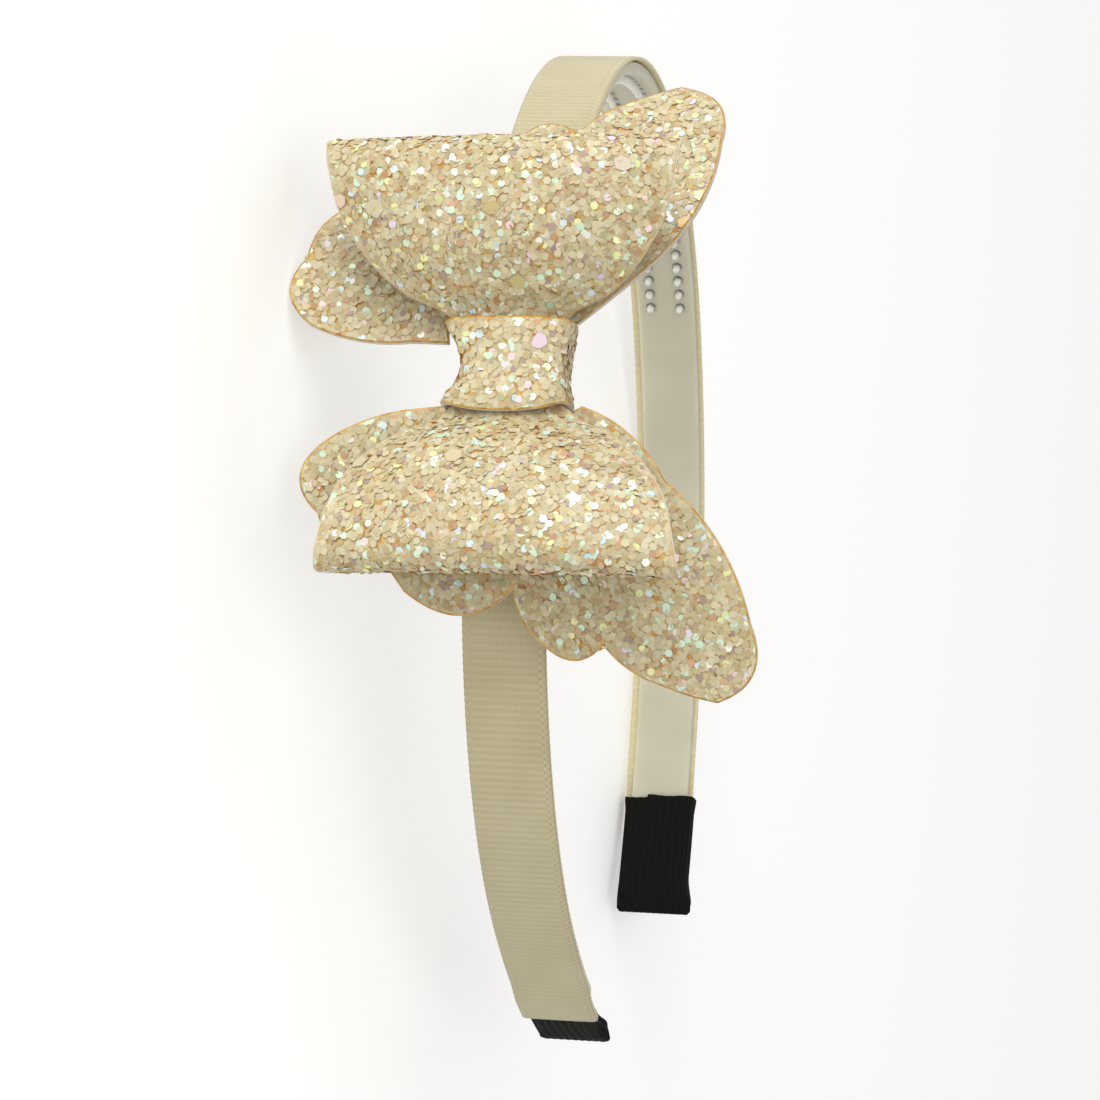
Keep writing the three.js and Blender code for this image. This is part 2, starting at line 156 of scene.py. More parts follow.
def addCamera():
    s = cameraSettings
    aside, down = math.radians(s["turnAside"]), math.radians(s["lookDown"])
    ahead = Vector((math.cos(down) * math.cos(aside), math.cos(down) * math.sin(aside), -math.sin(down)))
    right = Vector(s["right"])
    right = (right - ahead * right.dot(ahead)).normalized()
    axes = Matrix((right, right.cross(ahead), -ahead)).transposed()
    data = bpy.data.cameras.new("photoCamera")
    data.lens, data.sensor_width, data.clip_start = s["lens"], s["sensor"], 0.02
    camera = bpy.data.objects.new("photoCamera", data)
    camera.matrix_world = (Matrix.Translation(archToRow @ Vector(s["place"]))
                           @ (turnToRow @ axes).to_4x4())
    bpy.context.scene.collection.objects.link(camera)
    bpy.context.scene.camera = camera
    print("camera stands", round(camera.location.z / mm), "mm above the floor")
    return camera


camera = addCamera()


# Materials
def addNode(tree, kind, settings=None, links=None):
    node = tree.nodes.new(kind)
    for key, value in (settings or {}).items():
        if isinstance(key, int) or key in node.inputs:
            node.inputs[key].default_value = value
        else:
            setattr(node, key, value)
    for key, socket in (links or {}).items():
        tree.links.new(socket, node.inputs[key])
    return node


def newMaterial(name, settings):
    material = bpy.data.materials.new(name)
    material.use_nodes = True
    tree = material.node_tree
    shader = tree.nodes["Principled BSDF"]
    for key, value in settings.items():
        shader.inputs[key].default_value = value
    return material, tree, shader


def addRamp(tree, factor, stops):
    ramp = addNode(tree, "ShaderNodeValToRGB", links={"Fac": factor})
    while len(ramp.color_ramp.elements) < len(stops):
        ramp.color_ramp.elements.new(0.5)
    for element, (place, colour) in zip(ramp.color_ramp.elements, stops):
        element.position = place
        element.color = srgb(colour)
    return ramp


def addBump(tree, shader, height, distance):
    bump = addNode(tree, "ShaderNodeBump", {"Distance": distance * mm, "Strength": 1.0},
                   {"Height": height})
    tree.links.new(bump.outputs["Normal"], shader.inputs["Normal"])


glitterSettings = {"flakeAcross": 0.95, "bedAmber": "#BA883C", "bedCream": "#D0B06A", "rim": 0.3}


# The coat that bonds the flakes: clear amber binder with lower flakes half sunk in it. Between the
# flakes it shows as warm gaps, in cells as wide as a flake.
def glitterBed():
    s = glitterSettings
    material, tree, shader = newMaterial("glitterCoatPolyurethane", {"Roughness": 0.45, "IOR": 1.5})
    place = addNode(tree, "ShaderNodeTexCoord")
    cells = addNode(tree, "ShaderNodeTexVoronoi", {"Scale": 1 / (s["flakeAcross"] * mm)},
                    {"Vector": place.outputs["Object"]})
    pick = addNode(tree, "ShaderNodeSeparateColor", links={"Color": cells.outputs["Color"]})
    ramp = addRamp(tree, pick.outputs["Red"], [
        (0.0, s["bedAmber"]), (0.35, "#C6984C"), (0.6, s["bedCream"]), (0.9, "#C59350"),
    ])
    tree.links.new(ramp.outputs["Color"], shader.inputs["Base Color"])
    addBump(tree, shader, cells.outputs["Distance"], 0.25)
    return material


# Polyester film punched into flat flakes: satin, and each flake carries its own colour
def filmFlake(name, settings):
    material, tree, shader = newMaterial(name, settings)
    colour = addNode(tree, "ShaderNodeAttribute", {"attribute_name": "flakeColour"})
    tree.links.new(colour.outputs["Color"], shader.inputs["Base Color"])
    return material


# The same film at its punched rims, which let light through, so that they glow amber
def flakeRim():
    material, tree, shader = newMaterial("flakeRimAmber", {"Roughness": 0.5, "IOR": 1.5})
    place = addNode(tree, "ShaderNodeTexCoord")
    patches = addNode(tree, "ShaderNodeTexNoise", {"Scale": 1 / (2.5 * mm), "Detail": 1.0},
                      {"Vector": place.outputs["Object"]})
    ramp = addRamp(tree, patches.outputs["Fac"], [(0.3, "#C7913F"), (0.7, "#D8AC5E")])
    tree.links.new(ramp.outputs["Color"], shader.inputs["Base Color"])
    return material


# Knitted felt behind the glitter, and the sheet's cut edge: off-white and a little fuzzy
def sheetBacking(name, light, dark):
    material, tree, shader = newMaterial(name, {
        "Roughness": 0.9, "Sheen Weight": 0.3, "Sheen Roughness": 0.6})
    place = addNode(tree, "ShaderNodeTexCoord")
    fuzz = addNode(tree, "ShaderNodeTexNoise", {"Scale": 1 / (0.5 * mm), "Detail": 4.0, "Roughness": 0.7},
                   {"Vector": place.outputs["Object"]})
    ramp = addRamp(tree, fuzz.outputs["Fac"], [(0.3, dark), (0.7, light)])
    tree.links.new(ramp.outputs["Color"], shader.inputs["Base Color"])
    addBump(tree, shader, fuzz.outputs["Fac"], 0.12)
    return material


# Woven polyester grosgrain: dull ribs across the ribbon, with painted shade in the ribs' valleys, and a
# tighter woven edge
def grosgrain():
    s = ribbonSettings
    material, tree, shader = newMaterial("grosgrainPolyester", {
        "Roughness": 0.78, "Sheen Weight": 0.25, "Sheen Roughness": 0.5, "IOR": 1.5})
    uv = addNode(tree, "ShaderNodeUVMap", {"uv_map": "pieceUv"})
    split = addNode(tree, "ShaderNodeSeparateXYZ", links={"Vector": uv.outputs["UV"]})
    turns = addNode(tree, "ShaderNodeMath", {"operation": "MULTIPLY", 1: 2 * math.pi / s["ribPitch"]},
                    {0: split.outputs["X"]})
    wave = addNode(tree, "ShaderNodeMath", {"operation": "COSINE"}, {0: turns.outputs[0]})
    threads = addNode(tree, "ShaderNodeTexWave", {
        "wave_type": "BANDS", "bands_direction": "Y", "Scale": 0.32 / s["threadPitch"],
        "Distortion": 0.6, "Detail": 1.0}, {"Vector": uv.outputs["UV"]})
    wear = addNode(tree, "ShaderNodeTexNoise", {"Scale": 0.12, "Detail": 1.0}, {"Vector": uv.outputs["UV"]})
    # The rib wave darkens the colour in the valleys between ribs and lightens it on the crests: painted
    # shade of the ribs
    tone = addNode(tree, "ShaderNodeMath", {"operation": "MULTIPLY_ADD", 1: 0.08, 2: 0.4},
                   {0: wave.outputs[0]})
    tone = addNode(tree, "ShaderNodeMath", {"operation": "MULTIPLY_ADD", 1: 0.3},
                   {0: wear.outputs["Fac"], 2: tone.outputs[0]})
    share = addNode(tree, "ShaderNodeMath", {"operation": "DIVIDE", 1: s["width"]}, {0: split.outputs["Y"]})
    woven = addRamp(tree, share.outputs[0], [
        (0.045, "#000000"), (0.07, "#FFFFFF"), (0.095, "#000000"),
        (0.905, "#000000"), (0.93, "#8A8A8A"), (0.955, "#000000"),
    ])
    dots = addNode(tree, "ShaderNodeMath", {"operation": "MULTIPLY"},
                   {0: woven.outputs["Color"], 1: wave.outputs[0]})
    tone = addNode(tree, "ShaderNodeMath", {"operation": "MULTIPLY_ADD", 1: -0.4},
                   {0: dots.outputs[0], 2: tone.outputs[0]})
    tone = addNode(tree, "ShaderNodeMath", {"operation": "MULTIPLY_ADD", 1: 0.06},
                   {0: threads.outputs["Fac"], 2: tone.outputs[0]})
    ramp = addRamp(tree, tone.outputs[0], [(0.25, s["dark"]), (0.85, s["light"])])
    tree.links.new(ramp.outputs["Color"], shader.inputs["Base Color"])
    addBump(tree, shader, threads.outputs["Fac"], 0.03)
    return material


# The ribbon's inner side and edges, paler because light comes through the thin weave
def ribbonUnderside():
    material, tree, shader = newMaterial("grosgrainUnderside", {"Roughness": 0.8, "IOR": 1.5})
    place = addNode(tree, "ShaderNodeTexCoord")
    weave = addNode(tree, "ShaderNodeTexNoise", {"Scale": 1 / (0.6 * mm), "Detail": 2.0},
                    {"Vector": place.outputs["Object"]})
    ramp = addRamp(tree, weave.outputs["Fac"], [(0.3, "#D9CDA2"), (0.7, "#E3D9B4")])
    tree.links.new(ramp.outputs["Color"], shader.inputs["Base Color"])
    return material


# Injection-moulded ivory plastic, slightly translucent, satin from the mould
def ivoryPlastic(name, light, dark, glow):
    material, tree, shader = newMaterial(name, {
        "Roughness": 0.42, "IOR": 1.49, "Specular IOR Level": 0.35,
        "Subsurface Weight": 1.0, "Subsurface Scale": glow * mm,
        "Subsurface Radius": (1.0, 0.95, 0.85)})
    place = addNode(tree, "ShaderNodeTexCoord")
    cloud = addNode(tree, "ShaderNodeTexNoise", {"Scale": 1 / (9 * mm), "Detail": 2.0},
                    {"Vector": place.outputs["Object"]})
    ramp = addRamp(tree, cloud.outputs["Fac"], [(0.3, dark), (0.7, light)])
    tree.links.new(ramp.outputs["Color"], shader.inputs["Base Color"])
    grain = addNode(tree, "ShaderNodeTexNoise", {"Scale": 1 / (0.4 * mm), "Detail": 3.0},
                    {"Vector": place.outputs["Object"]})
    addBump(tree, shader, grain.outputs["Fac"], 0.015)
    return material


# Ribbed elastic knit, black and dull, with a little lint
def blackKnit():
    s = sleeveSettings
    material, tree, shader = newMaterial("ribbedElasticKnit", {
        "Roughness": 0.9, "Specular IOR Level": 0.15, "Sheen Weight": 0.02, "Sheen Roughness": 0.4})
    uv = addNode(tree, "ShaderNodeUVMap", {"uv_map": "pieceUv"})
    stitches = addNode(tree, "ShaderNodeTexWave", {
        "wave_type": "BANDS", "bands_direction": "X", "Scale": 0.32 / s["stitchPitch"],
        "Distortion": 0.8, "Detail": 1.0}, {"Vector": uv.outputs["UV"]})
    lint = addNode(tree, "ShaderNodeTexNoise", {"Scale": 2.2, "Detail": 3.0}, {"Vector": uv.outputs["UV"]})
    tone = addNode(tree, "ShaderNodeMath", {"operation": "MULTIPLY"},
                   {0: stitches.outputs["Fac"], 1: lint.outputs["Fac"]})
    ramp = addRamp(tree, tone.outputs[0], [(0.1, "#0C0C0B"), (0.7, "#151513")])
    tree.links.new(ramp.outputs["Color"], shader.inputs["Base Color"])
    addBump(tree, shader, stitches.outputs["Fac"], 0.012)
    return material


# Pieces
def finishPiece(bm, name, materials, node):
    mesh = bpy.data.meshes.new(name)
    bm.to_mesh(mesh)
    bm.free()
    for polygon in mesh.polygons:
        polygon.use_smooth = True
    piece = bpy.data.objects.new(name, mesh)
    bpy.context.scene.collection.objects.link(piece)
    for material in materials:
        mesh.materials.append(material)
    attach(piece, "root")
    if node:
        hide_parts(node)
    return piece


# A grid rolled or bent by place(u, v), with its UV map in millimetres of the flat piece
def bentGrid(columns, rows, place, flat, closeEnds=False, edging=0.0):
    bm = bmesh.new()
    uvLayer = bm.loops.layers.uv.new("pieceUv")
    bmesh.ops.create_grid(bm, x_segments=columns, y_segments=rows, size=0.5, calc_uvs=True)
    for face in bm.faces:
        for loop in face.loops:
            loop[uvLayer].uv = ((loop.vert.co.x + 0.5) * flat[0], (loop.vert.co.y + 0.5) * flat[1])
    if edging:  # a bare strip along both long edges, with the cut edge's finish
        for face in bm.faces:
            if abs(face.calc_center_median().y) > 0.5 - 1 / rows:
                face.material_index = 2
        for vert in bm.verts:
            if abs(abs(vert.co.y) - (0.5 - 1 / rows)) < 0.1 / rows:
                vert.co.y = math.copysign(0.5 - edging / flat[1], vert.co.y)
    for vert in bm.verts:
        vert.co = place(vert.co.x + 0.5, vert.co.y + 0.5)
    bmesh.ops.remove_doubles(bm, verts=bm.verts, dist=0.001 * mm)
    if closeEnds:
        bmesh.ops.holes_fill(bm, edges=[e for e in bm.edges if e.is_boundary], sides=0)
    bmesh.ops.recalc_face_normals(bm, faces=bm.faces)
    return bm


def addThickness(piece, thick, offset=-1.0, backing=0, rim=0):
    solid = piece.modifiers.new("thickness", "SOLIDIFY")
    solid.thickness = thick * mm
    solid.offset = offset
    solid.material_offset = backing
    solid.material_offset_rim = rim
    return solid


# Plastic arch with two rows of comb teeth
plasticSettings = {
    "width": 8.3, "under": -1.2, "over": 0.65, "overInSleeve": 0.2, "thinAt": (16.0, 22.0),
    "cornerPower": 0.32, "columns": 260, "rows": 36, "narrowOver": 4, "toothRound": 0.28,
    "tipInset": 2.0, "tipRound": 3.0, "toothPitch": 2.35, "toothBase": 1.4, "toothTip": 0.8,
    "toothHeight": 1.2, "toothRowGap": 4.3, "toothedReach": 75.2, "toothSides": 10, "sunk": 0.3,
    "sleevedReach": 15.0, "sleevedHalf": 3.3, "sleevedShift": {-1: 0.75, 1: 0.0},
}


def plasticPiece():
    s = plasticSettings
    reach = {side: legLength(side) - s["tipInset"] for side in (-1, 1)}
    total = reach[-1] + reach[1]

    def place(u, v):
        distance = u * total - reach[-1]
        toTip = reach[-1 if distance < 0 else 1] - abs(distance)
        over = mix(s["overInSleeve"], s["over"], smooth(toTip, *s["thinAt"]))
        sleeved = smooth(toTip, s["sleevedReach"], s["sleevedReach"] - s["narrowOver"])
        inRound = max(0.0, 1 - toTip / s["tipRound"])
        half = mix(s["width"] / 2, s["sleevedHalf"], sleeved) * (0.7 + 0.3 * math.sqrt(1 - inRound ** 2))
        angle = 2 * math.pi * v
        shift = s["sleevedShift"][-1 if distance < 0 else 1] * sleeved
        across = half * signedPower(math.sin(angle), s["cornerPower"]) + shift
        middle, rise = (over + s["under"]) / 2, (over - s["under"]) / 2
        out = middle + rise * signedPower(math.cos(angle), s["cornerPower"])
        return archToRow @ onArch(distance, across, out)

    bm = bentGrid(s["columns"], s["rows"], place, (total, 2 * s["width"]), closeEnds=True)
    steps = round(s["toothedReach"] / s["toothPitch"])
    length = s["toothHeight"] + s["sunk"]
    for step in range(-steps, steps + 1):
        for row in (-0.5, 0.5):
            distance, across = step * s["toothPitch"], row * s["toothRowGap"]
            foot = archToRow @ onArch(distance, across, s["under"] + s["sunk"])
            tip = archToRow @ onArch(distance, across, s["under"] - s["toothHeight"])
            turn = (tip - foot).to_track_quat("Z", "Y").to_matrix().to_4x4()
            tooth = bmesh.ops.create_cone(
                bm, cap_ends=True, segments=s["toothSides"], radius1=s["toothBase"] / 2 * mm,
                radius2=s["toothTip"] / 2 * mm, depth=length * mm,
                matrix=Matrix.Translation((foot + tip) / 2) @ turn)
            for face in {f for v in tooth["verts"] for f in v.link_faces}:
                face.material_index = 1
            crown = [f for v in tooth["verts"] for f in v.link_faces if len(f.verts) == s["toothSides"]]
            top = max(crown, key=lambda f: (f.calc_center_median() - foot).length)
            bmesh.ops.bevel(bm, geom=list(top.edges), offset=s["toothRound"] * mm, segments=3, profile=0.5,
                            affect="EDGES", material=-1)
    return finishPiece(bm, "toothed_arch", [
        ivoryPlastic("ivoryPolypropylene", "#CDC9B5", "#C4C0AA", 1.5),
        ivoryPlastic("ivoryPolypropyleneTeethPaintedLight", "#E2DECF", "#DCD8C8", 4.0),  # thin, and painted paler: painted light through the thin teeth, which also hides the shade at their sides
    ], "plastic_band")


# Grosgrain ribbon glued along the outside, over the sleeves at both ends. Its ribs are a little
# coarser than the 12 to 10 mm that the record gives.
ribbonSettings = {
    "width": 10.0, "thick": 0.45, "shift": 0.35, "endGap": 11.7, "corners": (0.5, 1.3), "ramp": 5.0,
    "under": 0.72, "overSleeve": 1.25, "sleeveLength": 17.2, "ribPitch": 0.93, "ribHeight": 0.02,
    "edgeWidth": 0.75, "beadWidth": 0.16, "edgeWave": 0.025, "threadPitch": 0.3, "rows": 24,
    "light": "#C8BF9C", "dark": "#A79B73",
}


def ribbonPiece():
    s = ribbonSettings
    reach = {side: legLength(side) - s["endGap"] for side in (-1, 1)}
    total = reach[-1] + reach[1]
    columns = 5 * round(total / s["ribPitch"])

    def place(u, v):
        distance = u * total - reach[-1]
        side = -1 if distance < 0 else 1
        toEnd = reach[side] - abs(distance)
        corner = s["corners"][0 if v > 0.5 else 1]
        inCorner = max(0.0, 1 - toEnd / corner)
        half = s["width"] / 2 - corner * (1 - math.sqrt(max(0.0, 1 - inCorner ** 2)))
        rib = math.cos(2 * math.pi * distance / s["ribPitch"])
        fromEdge = s["width"] * min(v, 1 - v)
        inner = smooth(fromEdge, s["edgeWidth"] - 0.3, s["edgeWidth"] + 0.1)
        bead = math.exp(-((fromEdge - s["edgeWidth"]) / s["beadWidth"]) ** 2)
        edgeWave = s["edgeWave"] * rib * (1 - smooth(fromEdge, 0, 0.6))
        rampEnd = legLength(side) - s["sleeveLength"] - 0.3
        rise = (s["overSleeve"] - s["under"]) * smooth(abs(distance), rampEnd - s["ramp"], rampEnd)
        out = s["under"] + s["thick"] + rise + s["ribHeight"] * rib * (inner + 3 * bead)
        across = s["shift"] + (2 * v - 1) * (half + edgeWave)
        return archToRow @ onArch(distance, across, out)

    bm = bentGrid(columns, s["rows"], place, (total, s["width"]))
    outwards = archToRow.to_3x3() @ Vector((0, 0, 1))
    bm.faces.ensure_lookup_table()
    middle = min(bm.faces, key=lambda f: (f.calc_center_median() - archToRow @ Vector((0, 0, 1))).length)
    if middle.normal.dot(outwards) < 0:
        bmesh.ops.reverse_faces(bm, faces=bm.faces)
    piece = finishPiece(bm, "ribbon", [grosgrain(), ribbonUnderside()], "grosgrain_ribbon")
    addThickness(piece, s["thick"], backing=1, rim=1)
    return piece


# Knit sleeve wrapped round each tip: its overlap shows on the inner face and its foot is pressed flat
sleeveSettings = {
    "length": 17.2, "over": 1.0, "wall": 0.45, "corner": 0.7, "ribPitch": 1.1, "ribHeight": 0.2,
    "stitchPitch": 0.55, "mouthFlare": {-1: 0.0, 1: 0.2}, "lap": 0.2, "lapUp": 0.4, "footRound": 0.35,
    "pressed": 0.35, "pressedLength": 2.5, "mouthWave": 0.07, "ribColumns": 8, "rows": 40,
    -1: {"half": 4.2, "under": -1.5, "shift": 0.95, "footHalf": 4.75, "footShift": 0.5, "footMiddle": 0.6},
    1: {"half": 5.0, "under": -1.9, "shift": 0.0, "footHalf": 5.5, "footShift": -0.45, "footMiddle": 0.0},
}


# A point and the outward direction on a rounded box's section, for a share of the way round it
def onRoundedBox(share, half, rise, corner):
    quarter = int(share * 4) % 4
    flat, upright = half - corner, rise - corner
    whole = flat + corner * math.pi / 2 + upright
    along = (share * 4 - int(share * 4)) * whole
    along = whole - along if quarter % 2 else along
    turn = min(math.pi / 2, max(0.0, (along - flat) / corner))
    x = min(along, flat) + corner * math.sin(turn)
    z = upright + corner * math.cos(turn) - max(0.0, along - flat - corner * math.pi / 2)
    sign = ((1, 1), (1, -1), (-1, -1), (-1, 1))[quarter]
    return sign[0] * x, sign[1] * z, sign[0] * math.sin(turn), sign[1] * math.cos(turn)


def sleevePiece(side, name, node):
    s = sleeveSettings
    own = s[side]
    top = legLength(side) - s["length"]
    around = 4 * own["half"] + 2 * (s["over"] - own["under"])
    ribs = round(around / s["ribPitch"])

    def place(u, v):
        fromFoot = (1 - v) * s["length"]
        toFoot = 1 - smooth(fromFoot, 0.0, 0.35 * s["length"])
        pressed = 1 - smooth(fromFoot, 0.0, s["pressedLength"])
        inRound = max(0.0, 1 - fromFoot / s["footRound"])
        half = mix(own["half"], own["footHalf"], toFoot) + s["mouthFlare"][side] * smooth(v, 0.12, 0.0)
        half -= s["footRound"] * (1 - math.sqrt(1 - inRound ** 2))
        middle = mix((s["over"] + own["under"]) / 2, own["footMiddle"], pressed)
        rise = mix((s["over"] - own["under"]) / 2, s["pressed"], pressed)
        x, z, outX, outZ = onRoundedBox(u % 1.0, half, rise, min(s["corner"], 0.9 * rise))
        lapped = smooth(u, 0.436, 0.44) * smooth(u, 0.9, 0.85)
        rib = s["ribHeight"] * (abs(math.cos(math.pi * ribs * u)) - 1) * (1 - 0.7 * pressed)
        out = rib + s["lap"] * lapped * (1 - pressed)
        shift = mix(own["shift"], own["footShift"], toFoot)
        raised = s["lapUp"] * lapped + s["mouthWave"] * math.sin(10 * math.pi * u)
        along = top + v * s["length"] - raised * smooth(v, 0.1, 0.0)
        return archToRow @ onArch(side * along, shift + x + outX * out, middle + z + outZ * out)

    bm = bentGrid(ribs * s["ribColumns"], s["rows"], place, (around, s["length"]))
    foot = archToRow @ onArch(side * legLength(side), own["footShift"], own["footMiddle"])
    rim = [e for e in bm.edges if e.is_boundary and (e.verts[0].co - foot).length < 0.6 * s["length"] * mm]
    bmesh.ops.holes_fill(bm, edges=rim, sides=0)
    bmesh.ops.recalc_face_normals(bm, faces=bm.faces)
    piece = finishPiece(bm, name, [blackKnitMaterial], node)
    addThickness(piece, s["wall"])
    return piece


# Bow wings: one flat sheet, drawn from the knot's edge round each half.
# along is a share of the way to the wings' reach, across a share of the span on its side. bulge is
# how far the line to a place bows out, as a share of its length. skew moves the place up the leg in
# both halves, in millimetres.
wingSettings = {
    "reach": 37.9, "foreSpan": 26.1, "hindSpan": 26.7, "turn": 2.0, "lean": 0.067, "shift": 0.45,
    "bendRadius": 66.0, "outlineStep": 0.7, "cut": 2.0, "cutShift": 0.013, "ripple": 0.35,
    "rippleAcross": 11, "rippleStart": 6, "rippleEnd": 26,
    "lowerBulge": {"fore edge": 0.1},  # the lower half is cut rounder beside the knot
    "hindNarrow": {1: 0.98, -1: 0.965},
}
wingRows = [
    {"part": "beside the knot", "along": -0.031, "across": 0.32, "bulge": 0, "skew": 1.0},
    {"part": "fore edge", "along": 0.219, "across": 0.674, "bulge": 0.01, "skew": 0.1},
    {"part": "long fore edge", "along": 0.721, "across": 0.996, "bulge": 0.095, "skew": 0},
    {"part": "fore tip", "along": 1.0, "across": 0.812, "bulge": 0.245, "skew": 0},
    {"part": "fore tip", "along": 0.934, "across": 0.571, "bulge": 0.03, "skew": 0},
    {"part": "first notch", "along": 0.787, "across": 0.333, "bulge": 0.08, "skew": 0},
    {"part": "small scallop", "along": 0.784, "across": 0.065, "bulge": 0.25, "skew": 0},
    {"part": "middle notch", "along": 0.586, "across": -0.05, "bulge": 0.108, "skew": 0},
    {"part": "hind lobe", "along": 0.583, "across": -0.55, "bulge": 0.22, "skew": 0},
    {"part": "second notch", "along": 0.51, "across": -0.605, "bulge": 0, "skew": 0},
    {"part": "side lobe", "along": 0.295, "across": -0.921, "bulge": 0.19, "skew": -0.2},
    {"part": "hind tip", "along": 0.044, "across": -0.906, "bulge": 0.28, "skew": -0.5},
    {"part": "hind edge", "along": -0.06, "across": -0.45, "bulge": 0.07, "skew": 0.35},
    {"part": "beside the knot", "along": -0.07, "across": -0.272, "bulge": 0, "skew": 0.35},
    {"part": "behind the knot", "along": 0, "across": -0.272, "bulge": 0, "skew": 0},
]


# One half of the outline from the waist round to the waist: end 1 is the upper half, -1 the lower
def wingHalf(end):
    s = wingSettings
    waist = [bowSettings["waistFill"] * knotRoom(flare) for flare in (0, 1)]
    half = [Vector((waist[0], 0)), Vector((waist[1], knotClear))]
    for row in wingRows:
        span = s["foreSpan"] if row["across"] > 0 else s["hindSpan"] * s["hindNarrow"][end]
        away = mix(knotClear, s["reach"], row["along"]) + end * row["skew"]
        spot = Vector((row["across"] * span, away))
        bulge = s["lowerBulge"].get(row["part"], row["bulge"]) if end < 0 else row["bulge"]
        start = half[-1]
        chord = spot - start
        aside = Vector((chord.y, -chord.x))
        count = max(1, math.ceil(chord.length / s["outlineStep"]))
        for i in range(1, count + 1):
            share = i / count
            half.append(start + chord * share + aside * (4 * bulge * share * (1 - share)))
    half += [Vector((-waist[1], knotClear)), Vector((-waist[0], 0))]
    return [Vector((spot.x, end * spot.y)) for spot in half]


def wingOutline():
    return wingHalf(1) + wingHalf(-1)[-2:0:-1]


def onWing(x, y):
    s = wingSettings
    front = wingBack + bowSettings["sheetThick"] - bowSettings["skin"]
    past = max(0.0, abs(y) - knotClear)
    angle = past / s["bendRadius"]
    free = smooth(past, s["rippleStart"], s["rippleEnd"])
    wave = noise.noise(Vector((x / s["rippleAcross"], y / s["rippleAcross"], 4.2)))
    front += s["ripple"] * free * wave
    ring = s["bendRadius"] + front
    point = Vector((x, math.copysign(abs(y) - past + ring * math.sin(angle), y),
                    ring * math.cos(angle) - s["bendRadius"]))
    point.x -= s["lean"] * point.y
    point = Matrix.Rotation(math.radians(s["turn"]), 3, "Z") @ point
    point.x -= s["shift"]
    return bowToRow @ point


def wingsPiece():
    s = wingSettings
    bm = bmesh.new()
    uvLayer = bm.loops.layers.uv.new("pieceUv")
    bm.faces.new([bm.verts.new((spot.x, spot.y, 0)) for spot in wingOutline()])
    edging = bmesh.ops.inset_individual(bm, faces=bm.faces[:], thickness=glitterSettings["rim"])
    for face in edging["faces"]:
        face.material_index = 2
    for axis, span in ((Vector((1, 0, 0)), s["hindSpan"]), (Vector((0, 1, 0)), s["reach"])):
        for i in range(-math.floor(span / s["cut"]), math.floor(span / s["cut"]) + 1):
            bmesh.ops.bisect_plane(bm, geom=bm.verts[:] + bm.edges[:] + bm.faces[:], dist=1e-4,
                                   plane_co=axis * (i * s["cut"] + s["cutShift"]), plane_no=axis)
    # Slivers left by the cuts would fold over once the sheet has its thickness
    bmesh.ops.remove_doubles(bm, verts=bm.verts, dist=0.03)
    bmesh.ops.dissolve_degenerate(bm, edges=bm.edges, dist=0.02)
    bmesh.ops.recalc_face_normals(bm, faces=bm.faces)
    if sum(f.normal.z for f in bm.faces) < 0:
        bmesh.ops.reverse_faces(bm, faces=bm.faces)
    for face in bm.faces:
        for loop in face.loops:
            loop[uvLayer].uv = loop.vert.co.xy
    for vert in bm.verts:
        vert.co = onWing(vert.co.x, vert.co.y)
    piece = finishPiece(bm, "wing_sheet", glitterSheet, "bow_wings")
    addThickness(piece, bowSettings["cutThick"], backing=1, rim=2)
    return piece


# Bow loops: a closed strip pinched at its waist. knot is a share of the way to the knot's edge,
# free of the way from there to the fold, tight of the room in the knot, width of the half width,
# rise and drop of the loops' rise: drop is how far both edges hang behind the middle.
loopSettings = {
    "reach": 25.5, "halfWidth": 20.9, "rise": 10.3, "lean": 0.04, "foldStart": 0.4, "foldEnd": 0.68,
    "columns": 150, "rows": 44, "ripple": 0.3, "backNarrower": 1.3, "lowerShoulder": 1.3,
}
loopRows = [
    {"knot": 0, "free": 0.0, "rise": 0.17, "tight": 0.9, "width": 0.0, "drop": 0.13},
    {"knot": 1, "free": 0.0, "rise": 0.21, "tight": 1.0, "width": 0.0, "drop": 0.145},
    {"knot": 1, "free": 0.134, "rise": 0.46, "tight": 0.0, "width": 0.59, "drop": 0.22},
    {"knot": 1, "free": 0.314, "rise": 0.75, "tight": 0.0, "width": 0.78, "drop": 0.3},
    {"knot": 1, "free": 0.56, "rise": 0.94, "tight": 0.0, "width": 0.92, "drop": 0.32},
    {"knot": 1, "free": 0.82, "rise": 1.0, "tight": 0.0, "width": 0.98, "drop": 0.26},
    {"knot": 1, "free": 0.96, "rise": 0.92, "tight": 0.0, "width": 1.0, "drop": 0.2},
    {"knot": 1, "free": 1.0, "rise": 0.786, "tight": 0.0, "width": 1.0, "drop": 0.145},
    {"knot": 1, "free": 0.948, "rise": 0.635, "tight": 0.0, "width": 1.0, "drop": 0.117},
    {"knot": 1, "free": 0.768, "rise": 0.44, "tight": 0.0, "width": 0.94, "drop": 0.058},
    {"knot": 1, "free": 0.51, "rise": 0.25, "tight": 0.0, "width": 0.79, "drop": 0.03},
    {"knot": 1, "free": 0.25, "rise": 0.107, "tight": 0.0, "width": 0.56, "drop": 0.0},
    {"knot": 1, "free": 0.0, "rise": 0.0, "tight": 0.9, "width": 0.0, "drop": 0.0},
    {"knot": 0, "free": 0.0, "rise": 0.0, "tight": 0.9, "width": 0.0, "drop": 0.0},
]


def loopSection(row):
    s = loopSettings
    return (
        row["knot"] * knotClear + row["free"] * (s["reach"] - knotClear),
        row["rise"] * s["rise"],
        row["tight"] * knotRoom(row["knot"]) + row["width"] * s["halfWidth"],
        row["drop"] * s["rise"],
    )


